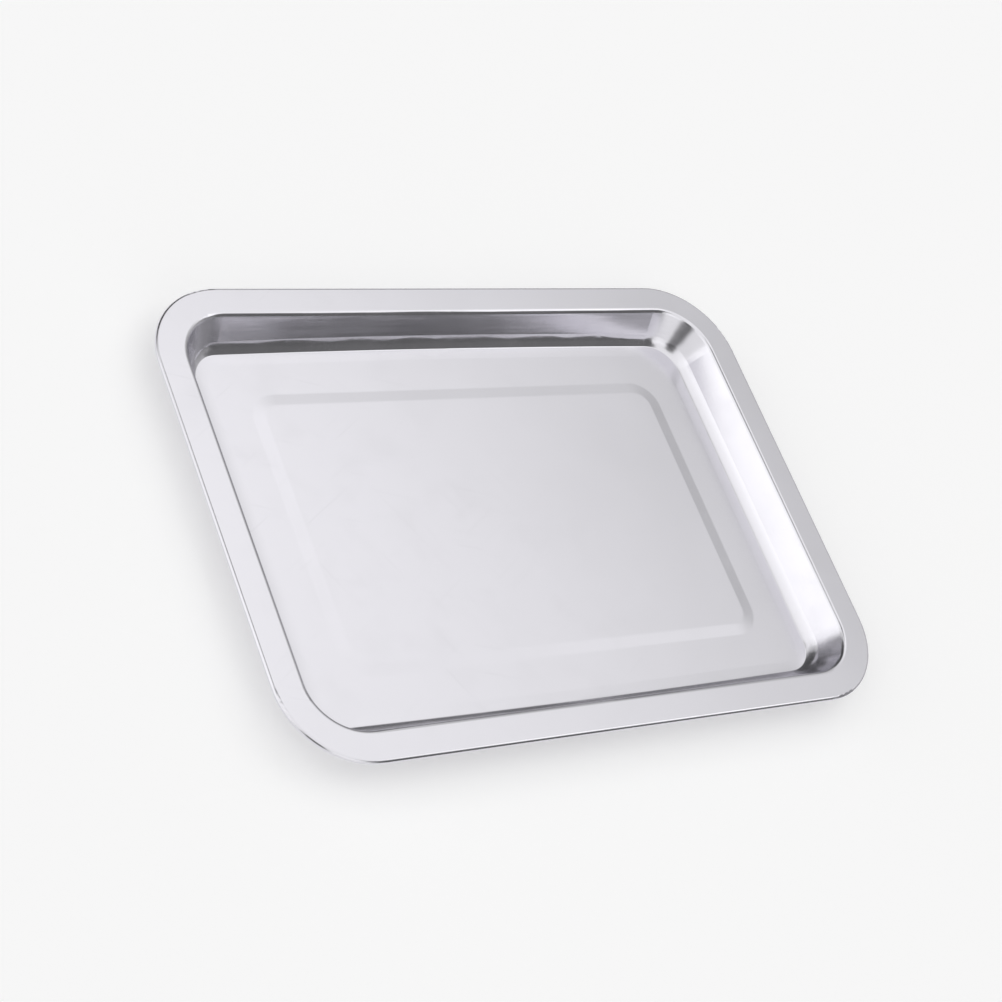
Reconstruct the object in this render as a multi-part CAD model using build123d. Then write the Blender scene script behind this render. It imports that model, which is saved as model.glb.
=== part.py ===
from build123d import *
import math
import os

# A shallow rectangular counting tray, pressed from one sheet of stainless steel.
# Millimetres. +X along the length, +Y across the width, +Z up. The origin is the centre of the
# tray's base, on the surface that it stands on.

# Overall size
LENGTH = 360.0               # outside, over the rolled edge
WIDTH = 265.0
HEIGHT = 20.0                # underside of the floor to the top of the rim
CORNER_RADIUS = 44.0         # outside corner of the rim
SHEET = 0.5                  # thickness of the steel

# Section of the wall, from the rim down to the floor; the radii are on the upper surface
RIM_FLAT_INSET = 14.6        # outside edge to where the flat rim starts to bend down
RIM_BEND_RADIUS = 2.5
WALL_ANGLE = 65.0            # degrees from the horizontal, at the corners and the end walls
BOWED_WALL_ANGLE = 69.5      # halfway along the two long walls, which bow outwards a little
FLOOR_BEND_RADIUS = 11.0
CREASE_ANGLE = 30.0          # slope past the crisp crease where the floor meets the wall's broad bend
CREASE_RADIUS = 1.0
DISH_ANGLE = 4.0             # the floor turns up very slightly over the last stretch before the crease
DISH_WIDTH = 6.0

# Rolled edge: the rim is curled down and under, round a wire
CURL_RADIUS = 1.5            # outside of the roll
CURL_TURN = 285.0            # degrees that the sheet turns through
WIRE_CLEARANCE = 0.05        # all round the wire, inside the roll
WIRE_BUTT_GAP = 0.5          # between the two ends of the bent wire

# Raised panel in the middle of the floor
PANEL_INSET = 51.5           # outside edge of the tray to the foot of the panel's ramp
PANEL_CORNER_RADIUS = 16.0   # at the foot of the ramp
PANEL_RISE = 0.4
PANEL_RAMP_WIDTH = 7.5
PANEL_BEND_RADIUS = 15.0     # on the sheet's middle surface, at the foot and the top of the ramp
RAMP_CORRECTIONS = 40        # rounds that settle the ramp's slope

# Where the swept sections meet the flat sheets between them
FLOOR_SEAM_INSET = 41.0
PANEL_SEAM_MARGIN = 1.5      # flat strip on each side of the ramp

HALF_SHEET = SHEET / 2
QUARTER_TURN = 90


def bend(radius, degrees):
    """One bend of the sheet, with the radius of its middle surface; positive turns upwards."""
    return ("bend", radius, degrees)


def run(length):
    """One flat stretch of the sheet."""
    return ("run", length, 0)


def sheet_side(start, moves, side):
    """The outline of one surface of the sheet: side is +1 for the upper one, -1 for the lower."""
    heading = 0.0
    point = Vector(start[0], start[1] + side * HALF_SHEET)
    edges = []
    for kind, size, degrees in moves:
        direction = Vector(math.cos(math.radians(heading)), math.sin(math.radians(heading)))
        if kind == "run":
            edge = Line(point, point + direction * size)
        else:
            radius = size - math.copysign(HALF_SHEET, degrees) * side
            edge = JernArc(point, direction, radius, degrees)
        edges.append(edge)
        point = edge @ 1
        heading += degrees
    return edges


def sheet_section(start, moves):
    """The cut face of a bent sheet in the XZ plane, X outwards, from the middle of its first end."""
    upper = sheet_side(start, moves, 1)
    lower = sheet_side(start, moves, -1)
    ends = [Line(upper[0] @ 0, lower[0] @ 0), Line(upper[-1] @ 1, lower[-1] @ 1)]
    return make_face(Plane.XZ * Curve(upper + lower + ends))


def straight_side(section, length, middle_section=None):
    """A section taken along a side, through another section halfway where one is given."""
    if middle_section is None:
        return extrude(section, length, dir=(0, -1, 0))
    return loft([section, Pos(0, -length / 2, 0) * middle_section, Pos(0, -length, 0) * section])


def swept_ring(section, axis_x, axis_y, long_middle_section=None):
    """A section taken round a rounded rectangle; its corners turn about the axes at +-x, +-y."""
    corner = revolve(section, Axis.Z, QUARTER_TURN)
    end_side = straight_side(section, 2 * axis_y)
    long_side = straight_side(section, 2 * axis_x, long_middle_section)
    pieces = []
    for turn, (side_x, side_y) in enumerate(((1, 1), (-1, 1), (-1, -1), (1, -1))):
        place = Pos(side_x * axis_x, side_y * axis_y, 0) * Rot(0, 0, QUARTER_TURN * turn)
        pieces.append(place * corner)
        pieces.append(place * (end_side if turn % 2 == 0 else long_side))
    return pieces


def inset_rectangle(inset, corner_radius):
    """The tray's outside rectangle, brought in by inset on every side."""
    return RectangleRounded(LENGTH - 2 * inset, WIDTH - 2 * inset, corner_radius)


def rim_section(wall_angle):
    """Floor strip, dish, crease, bend, wall, bend, rim and roll; X is measured from the corner's axis."""
    dish = math.radians(DISH_ANGLE)
    dish_bend = DISH_WIDTH / math.sin(dish)
    crease_bend = CREASE_RADIUS + HALF_SHEET
    floor_bend = FLOOR_BEND_RADIUS + HALF_SHEET
    rim_bend = RIM_BEND_RADIUS - HALF_SHEET
    crease = math.radians(CREASE_ANGLE)
    angle = math.radians(wall_angle)
    bends_rise = (
        dish_bend * (1 - math.cos(dish))
        + crease_bend * (math.cos(dish) - math.cos(crease))
        + floor_bend * (math.cos(crease) - math.cos(angle))
        + rim_bend * (1 - math.cos(angle))
    )
    bends_spread = (
        dish_bend * math.sin(dish)
        + crease_bend * (math.sin(crease) - math.sin(dish))
        + floor_bend * (math.sin(angle) - math.sin(crease))
        + rim_bend * math.sin(angle)
    )
    wall = (HEIGHT - SHEET - bends_rise) / math.sin(angle)
    wall_spread = bends_spread + wall * math.cos(angle)
    floor_strip = FLOOR_SEAM_INSET - RIM_FLAT_INSET - wall_spread
    rim = RIM_FLAT_INSET - CURL_RADIUS
    start = (CORNER_RADIUS - FLOOR_SEAM_INSET, HALF_SHEET)
    return sheet_section(start, [
        run(floor_strip),
        bend(dish_bend, DISH_ANGLE),
        bend(crease_bend, CREASE_ANGLE - DISH_ANGLE),
        bend(floor_bend, wall_angle - CREASE_ANGLE),
        run(wall),
        bend(rim_bend, -wall_angle),
        run(rim),
        bend(CURL_RADIUS - HALF_SHEET, -CURL_TURN),
    ])


def ramp_section():
    """The ramp round the raised panel, from the panel out to the floor, falling by the rise."""
    ramp_angle = 2 * math.atan(PANEL_RISE / PANEL_RAMP_WIDTH)
    bends_drop = 2 * PANEL_BEND_RADIUS * (1 - math.cos(ramp_angle))
    bends_width = 2 * PANEL_BEND_RADIUS * math.sin(ramp_angle)
    # The slope that fits both the rise and the width, found by repeated correction
    for _ in range(RAMP_CORRECTIONS):
        ramp_angle = math.atan2(PANEL_RISE - bends_drop, PANEL_RAMP_WIDTH - bends_width)
        bends_drop = 2 * PANEL_BEND_RADIUS * (1 - math.cos(ramp_angle))
        bends_width = 2 * PANEL_BEND_RADIUS * math.sin(ramp_angle)
    slope = math.hypot(PANEL_RISE - bends_drop, PANEL_RAMP_WIDTH - bends_width)
    degrees = math.degrees(ramp_angle)
    start_x = PANEL_CORNER_RADIUS - PANEL_RAMP_WIDTH - PANEL_SEAM_MARGIN
    return sheet_section((start_x, PANEL_RISE + HALF_SHEET), [
        run(PANEL_SEAM_MARGIN),
        bend(PANEL_BEND_RADIUS, -degrees),
        run(slope),
        bend(PANEL_BEND_RADIUS, degrees),
        run(PANEL_SEAM_MARGIN),
    ])


def pressed_tray():
    """The whole pressing: rolled rim, walls, floor and raised panel in one piece of sheet."""
    rim = swept_ring(
        rim_section(WALL_ANGLE),
        LENGTH / 2 - CORNER_RADIUS,
        WIDTH / 2 - CORNER_RADIUS,
        rim_section(BOWED_WALL_ANGLE),
    )
    panel_axis_inset = PANEL_INSET + PANEL_CORNER_RADIUS
    ramp = swept_ring(ramp_section(), LENGTH / 2 - panel_axis_inset, WIDTH / 2 - panel_axis_inset)

    floor_outline = inset_rectangle(FLOOR_SEAM_INSET, CORNER_RADIUS - FLOOR_SEAM_INSET)
    ramp_foot_inset = PANEL_INSET - PANEL_SEAM_MARGIN
    ramp_foot = inset_rectangle(ramp_foot_inset, PANEL_CORNER_RADIUS + PANEL_SEAM_MARGIN)
    floor = extrude(floor_outline - ramp_foot, SHEET)

    ramp_top_reach = PANEL_RAMP_WIDTH + PANEL_SEAM_MARGIN
    panel_outline = inset_rectangle(PANEL_INSET + ramp_top_reach, PANEL_CORNER_RADIUS - ramp_top_reach)
    panel = Pos(0, 0, PANEL_RISE) * extrude(panel_outline, SHEET)
    return floor.fuse(panel, *rim, *ramp).clean()


def rim_wire():
    """The stiffening wire inside the rolled edge, bent to a loop and butted behind the tray."""
    wire_radius = CURL_RADIUS - SHEET - WIRE_CLEARANCE
    centre = Pos(CORNER_RADIUS - CURL_RADIUS, HEIGHT - CURL_RADIUS)
    section = Plane.XZ * (centre * Circle(wire_radius))
    pieces = swept_ring(section, LENGTH / 2 - CORNER_RADIUS, WIDTH / 2 - CORNER_RADIUS)
    loop = pieces[0].fuse(*pieces[1:]).clean()
    roll_width = 2 * CURL_RADIUS
    butt = Pos(0, WIDTH / 2 - CURL_RADIUS, HEIGHT - CURL_RADIUS) * Box(
        WIRE_BUTT_GAP, roll_width, roll_width
    )
    return loop - butt


os.makedirs("parts", exist_ok=True)
export_step(pressed_tray(), "parts/tray_pan.step")
export_step(rim_wire(), "parts/rim_wire.step")
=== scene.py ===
import bpy
import math
from mathutils import Matrix, Vector


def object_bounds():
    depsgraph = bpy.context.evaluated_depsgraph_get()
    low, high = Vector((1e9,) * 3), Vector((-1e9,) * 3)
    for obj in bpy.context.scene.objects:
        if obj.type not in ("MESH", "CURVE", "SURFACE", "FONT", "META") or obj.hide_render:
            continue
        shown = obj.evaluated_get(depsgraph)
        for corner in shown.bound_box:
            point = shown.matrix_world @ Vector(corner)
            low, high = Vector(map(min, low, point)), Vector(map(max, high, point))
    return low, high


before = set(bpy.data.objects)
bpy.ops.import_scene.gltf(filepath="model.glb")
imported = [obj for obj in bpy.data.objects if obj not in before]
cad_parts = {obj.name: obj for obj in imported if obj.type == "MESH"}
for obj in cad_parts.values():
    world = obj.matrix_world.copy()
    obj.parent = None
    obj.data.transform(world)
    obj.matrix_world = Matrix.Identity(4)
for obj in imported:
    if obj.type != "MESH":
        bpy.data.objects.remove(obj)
cad_low, cad_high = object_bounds()

# Camera, in metres and degrees: it looks at a point in the plane of the rim's top
AIM_OFFSET = (-0.01855, -0.00094)
VIEW_AZIMUTH = -54.115
VIEW_ELEVATION = 45.121
VIEW_ROLL = 40.596
VIEW_DISTANCE = 1.1483
LENS = 82.185
SENSOR_WIDTH = 36.0          # millimetres, as is the lens
VIEW_END = 100.0

# The studio round the tray: (azimuth, brightness) in turn, at five heights above the horizon.
# Both angles are in degrees. Azimuth 0 is behind the tray (+Y) and 90 is on its right (+X).
# The dark stretches are black screens between the lit ones, and the strip at 63 draws the thin dark
# lines beside the right wall.
STUDIO_BANDS = {
    3: [(-180, 0.9), (-156, 0.9), (-146, 0.4), (-128, 0.25), (-114, 0.8), (-98, 0.75), (-84, 0.85),
        (-74, 1.4), (-66, 1.48), (-54, 1.3), (-34, 0.6), (-20, 0.12), (0, 0.1), (44, 0.12), (60, 0.3),
        (80, 0.42), (100, 0.32), (118, 0.26), (130, 0.22), (139, 0.11), (150, 0.1), (162, 0.5), (175, 0.9)],
    18: [(-180, 1.1), (-156, 1.0), (-144, 0.12), (-128, 0.12), (-114, 1.0), (-96, 1.1), (-66, 1.3),
         (-54, 1.05), (-40, 0.62), (-26, 0.12), (-12, 0.06), (20, 0.06), (34, 0.4), (50, 0.42), (66, 0.4),
         (82, 0.5), (100, 0.4), (118, 0.34), (130, 0.3), (139, 0.12), (152, 0.11), (164, 0.8)],
    34: [(-180, 1.2), (-156, 1.1), (-146, 0.14), (-130, 0.14), (-116, 1.0), (-96, 1.1), (-60, 1.2),
         (-50, 0.9), (-34, 0.7), (-20, 0.2), (-8, 0.08), (16, 0.08), (32, 0.7), (42, 0.72), (50, 0.68),
         (58, 0.55), (68, 0.5), (80, 0.7), (100, 0.6), (114, 0.18), (152, 0.13), (165, 1.1)],
    50: [(-180, 1.0), (-158, 1.0), (-146, 0.3), (-130, 0.3), (-116, 1.0), (-60, 1.15), (-20, 1.0),
         (0, 0.95), (44, 1.15), (52, 1.1), (60, 1.04), (66, 1.0), (75, 1.1), (85, 1.5), (105, 1.5),
         (112, 0.5), (118, 0.13), (150, 0.13), (165, 0.9)],
    63: [(-180, 1.0), (-46, 1.05), (-34, 0.05), (-2, 0.05), (12, 1.05)],
}
ZENITH_HEIGHT = 78
ZENITH_LEVEL = 1.0
BACKDROP_LEVEL = 0.93        # what the camera itself sees beyond the floor

# The floor is a softly lit white panel, as bright as the backdrop
FLOOR_SIZE = 8.0
FLOOR_ALBEDO = 0.8
FLOOR_GLOW = 0.31
FLOOR_ROUGHNESS = 0.9

# Polished sheet: colours and roughness where the polish is clean and where it is hazy, then how much
# rougher each kind of mark makes it at most
CLEAN_STEEL = (0.745, 0.735, 0.775, 1)
HAZY_STEEL = (0.775, 0.765, 0.808, 1)
POLISH_ROUGHNESS = (0.13, 0.19)
MARKS_ROUGHNESS = 0.05
GRAIN_ROUGHNESS = 0.03
SCRATCH_ROUGHNESS = 0.05
SCRATCH_TURNS = (-34, 17, 62)    # degrees about Z

# Relief of the sheet's surface, in metres
SWELL_DEPTH = 0.00012
DRAW_DEPTH = 0.00008
GRAIN_DEPTH = 0.0000015
SCRATCH_DEPTH = -0.0000006

# Drawn wire
DULL_WIRE = (0.5, 0.5, 0.51, 1)
BRIGHT_WIRE = (0.6, 0.6, 0.61, 1)
WIRE_ROUGHNESS = (0.36, 0.5)
WIRE_DEPTH = 0.00001

# Noise is mostly near its middle, so this part of it is spread over the whole of a range
NOISE_SPREAD = (0.3, 0.7)


def make_camera():
    aim = Vector((AIM_OFFSET[0], AIM_OFFSET[1], cad_high.z))
    azimuth = math.radians(VIEW_AZIMUTH)
    elevation = math.radians(VIEW_ELEVATION)
    back = Vector((
        math.sin(azimuth) * math.cos(elevation),
        -math.cos(azimuth) * math.cos(elevation),
        math.sin(elevation),
    ))
    camera = bpy.data.objects.new("camera", bpy.data.cameras.new("camera"))
    bpy.context.scene.collection.objects.link(camera)
    camera.location = aim + back * VIEW_DISTANCE
    level = (-back).to_track_quat("-Z", "Y").to_matrix()
    camera.rotation_euler = (level @ Matrix.Rotation(math.radians(VIEW_ROLL), 3, "Z")).to_euler()
    camera.data.lens = LENS
    camera.data.sensor_width = SENSOR_WIDTH
    camera.data.clip_end = VIEW_END
    bpy.context.scene.camera = camera


def set_input(tree, socket, value):
    """A link where the value is another node's output, else a plain setting."""
    if isinstance(value, bpy.types.NodeSocket):
        tree.links.new(value, socket)
    else:
        socket.default_value = value


def add_math(tree, operation, *values):
    node = tree.nodes.new("ShaderNodeMath")
    node.operation = operation
    for socket, value in zip(node.inputs, values):
        set_input(tree, socket, value)
    return node.outputs[0]


def add_range(tree, value, source, target, smooth=False):
    """A value carried from one range to another, held at the ends."""
    node = tree.nodes.new("ShaderNodeMapRange")
    if smooth:
        node.interpolation_type = "SMOOTHSTEP"
    set_input(tree, node.inputs["Value"], value)
    for name, number in zip(("From Min", "From Max", "To Min", "To Max"), (*source, *target)):
        node.inputs[name].default_value = number
    return node.outputs[0]


def add_mix(tree, factor, first, second):
    node = tree.nodes.new("ShaderNodeMix")
    node.data_type = "RGBA"
    set_input(tree, node.inputs[0], factor)
    set_input(tree, node.inputs[6], first)
    set_input(tree, node.inputs[7], second)
    return node.outputs[2]


def grey(level):
    return (level, level, level, 1)


def add_band(tree, turn, stops):
    """One height of the studio: brightness by turn, from 0 at azimuth -180 to 1 at 180."""
    ramp = tree.nodes.new("ShaderNodeValToRGB")
    tree.links.new(turn, ramp.inputs[0])
    ramp.color_ramp.interpolation = "EASE"
    elements = ramp.color_ramp.elements
    closed = stops + [(180, stops[0][1])]
    while len(elements) < len(closed):
        elements.new(1.0)
    for element, (azimuth, level) in zip(elements, closed):
        element.position = azimuth / 360 + 0.5
        element.color = grey(level)
    return ramp.outputs[0]


def make_studio():
    world = bpy.data.worlds.new("studio")
    bpy.context.scene.world = world
    world.use_nodes = True
    tree = world.node_tree
    direction = tree.nodes.new("ShaderNodeTexCoord").outputs["Generated"]
    split = tree.nodes.new("ShaderNodeSeparateXYZ")
    tree.links.new(direction, split.inputs[0])
    azimuth = add_math(tree, "ARCTAN2", split.outputs["X"], split.outputs["Y"])
    turn = add_math(tree, "ADD", add_math(tree, "DIVIDE", azimuth, 2 * math.pi), 0.5)
    height = add_math(tree, "ARCSINE", split.outputs["Z"])
    levels = [(degrees, add_band(tree, turn, stops)) for degrees, stops in STUDIO_BANDS.items()]
    levels.append((ZENITH_HEIGHT, grey(ZENITH_LEVEL)))
    lower, mixed = levels[0]
    for upper, level in levels[1:]:
        blend = add_range(tree, height, (math.radians(lower), math.radians(upper)), (0, 1), smooth=True)
        mixed = add_mix(tree, blend, mixed, level)
        lower = upper
    seen_by_camera = tree.nodes.new("ShaderNodeLightPath").outputs["Is Camera Ray"]
    colour = add_mix(tree, seen_by_camera, mixed, grey(BACKDROP_LEVEL))
    tree.links.new(colour, tree.nodes["Background"].inputs["Color"])


def new_material(name):
    material = bpy.data.materials.new(name)
    material.use_nodes = True
    return material.node_tree, material.node_tree.nodes["Principled BSDF"], material


def add_noise(tree, place, scale, detail, stretch=(1, 1, 1), turned=0.0):
    """Noise over the surface in metres, turned about Z; stretch is how fine it is along X, Y and Z."""
    turning = tree.nodes.new("ShaderNodeMapping")
    turning.inputs["Rotation"].default_value = (0, 0, math.radians(turned))
    stretching = tree.nodes.new("ShaderNodeMapping")
    stretching.inputs["Scale"].default_value = stretch
    noise = tree.nodes.new("ShaderNodeTexNoise")
    tree.links.new(place, turning.inputs["Vector"])
    tree.links.new(turning.outputs[0], stretching.inputs["Vector"])
    tree.links.new(stretching.outputs[0], noise.inputs["Vector"])
    noise.inputs["Scale"].default_value = scale
    noise.inputs["Detail"].default_value = detail
    return noise.outputs["Fac"]


def add_bump(tree, height, depth, below=None):
    bump = tree.nodes.new("ShaderNodeBump")
    bump.inputs["Distance"].default_value = depth
    set_input(tree, bump.inputs["Height"], height)
    if below is not None:
        tree.links.new(below, bump.inputs["Normal"])
    return bump.outputs[0]


def make_polished_steel():
    tree, shader, material = new_material("polished_steel")
    place = tree.nodes.new("ShaderNodeTexCoord").outputs["Object"]
    normal = tree.nodes.new("ShaderNodeSeparateXYZ")
    tree.links.new(tree.nodes.new("ShaderNodeNewGeometry").outputs["Normal"], normal.inputs[0])
    facing_y = add_math(tree, "ABSOLUTE", normal.outputs["Y"])
    on_long_walls = add_range(tree, facing_y, (0.2, 0.8), (0, 1), smooth=True)

    # Haze and hand marks on the polish
    haze = add_noise(tree, place, 11, 3)
    marks = add_range(tree, add_noise(tree, place, 38, 5), (0.5, 0.75), (0, 1))
    # Rolling grain along the sheet, and hair-fine scratches across it
    grain = add_noise(tree, place, 1.0, 4, stretch=(14, 1600, 1600))
    scratches = 0.0
    for turned in SCRATCH_TURNS:
        lines = add_noise(tree, place, 1.0, 2, stretch=(20, 900, 900), turned=turned)
        scratches = add_math(tree, "MAXIMUM", scratches, add_range(tree, lines, (0.66, 0.72), (0, 1)))
    # Marks of the draw, which run along the long walls
    draw = add_noise(tree, place, 1.0, 2, stretch=(12, 12, 220))
    # The sheet is nowhere perfectly flat
    swell = add_noise(tree, place, 16, 1)

    roughness = add_range(tree, haze, NOISE_SPREAD, POLISH_ROUGHNESS)
    roughness = add_math(tree, "MULTIPLY_ADD", marks, MARKS_ROUGHNESS, roughness)
    roughness = add_math(tree, "MULTIPLY_ADD", grain, GRAIN_ROUGHNESS, roughness)
    roughness = add_math(tree, "MULTIPLY_ADD", scratches, SCRATCH_ROUGHNESS, roughness)
    tree.links.new(roughness, shader.inputs["Roughness"])

    colour = add_mix(tree, add_range(tree, haze, NOISE_SPREAD, (0, 1)), CLEAN_STEEL, HAZY_STEEL)
    tree.links.new(colour, shader.inputs["Base Color"])

    bumps = add_bump(tree, swell, SWELL_DEPTH)
    bumps = add_bump(tree, add_math(tree, "MULTIPLY", draw, on_long_walls), DRAW_DEPTH, bumps)
    bumps = add_bump(tree, grain, GRAIN_DEPTH, bumps)
    bumps = add_bump(tree, scratches, SCRATCH_DEPTH, bumps)
    tree.links.new(bumps, shader.inputs["Normal"])
    shader.inputs["Metallic"].default_value = 1
    return material


def make_wire_steel():
    tree, shader, material = new_material("wire_steel")
    place = tree.nodes.new("ShaderNodeTexCoord").outputs["Object"]
    drawn = add_noise(tree, place, 900, 3)
    patches = add_noise(tree, place, 60, 4)
    tree.links.new(add_range(tree, patches, NOISE_SPREAD, WIRE_ROUGHNESS), shader.inputs["Roughness"])
    tree.links.new(add_mix(tree, patches, DULL_WIRE, BRIGHT_WIRE), shader.inputs["Base Color"])
    tree.links.new(add_bump(tree, drawn, WIRE_DEPTH), shader.inputs["Normal"])
    shader.inputs["Metallic"].default_value = 1
    return material


def make_floor():
    bpy.ops.mesh.primitive_plane_add(size=FLOOR_SIZE)
    floor = bpy.context.object
    floor.name = "studio_floor"
    tree, shader, material = new_material("studio_floor")
    shader.inputs["Base Color"].default_value = grey(FLOOR_ALBEDO)
    shader.inputs["Roughness"].default_value = FLOOR_ROUGHNESS
    shader.inputs["Specular IOR Level"].default_value = 0.0
    shader.inputs["Emission Color"].default_value = grey(1.0)
    shader.inputs["Emission Strength"].default_value = FLOOR_GLOW
    floor.data.materials.append(material)


def finish_node(name, material):
    """A CAD node's finish, with shading that keeps its flats flat next to the bends."""
    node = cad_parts[name]
    node.data.materials.clear()
    node.data.materials.append(material)
    shading = node.modifiers.new("flat_faces_first", "WEIGHTED_NORMAL")
    shading.mode = "FACE_AREA"
    shading.weight = 100
    shading.keep_sharp = True


bpy.context.scene.view_settings.view_transform = "Standard"
make_camera()
make_studio()
make_floor()
finish_node("tray_pan", make_polished_steel())
finish_node("rim_wire", make_wire_steel())
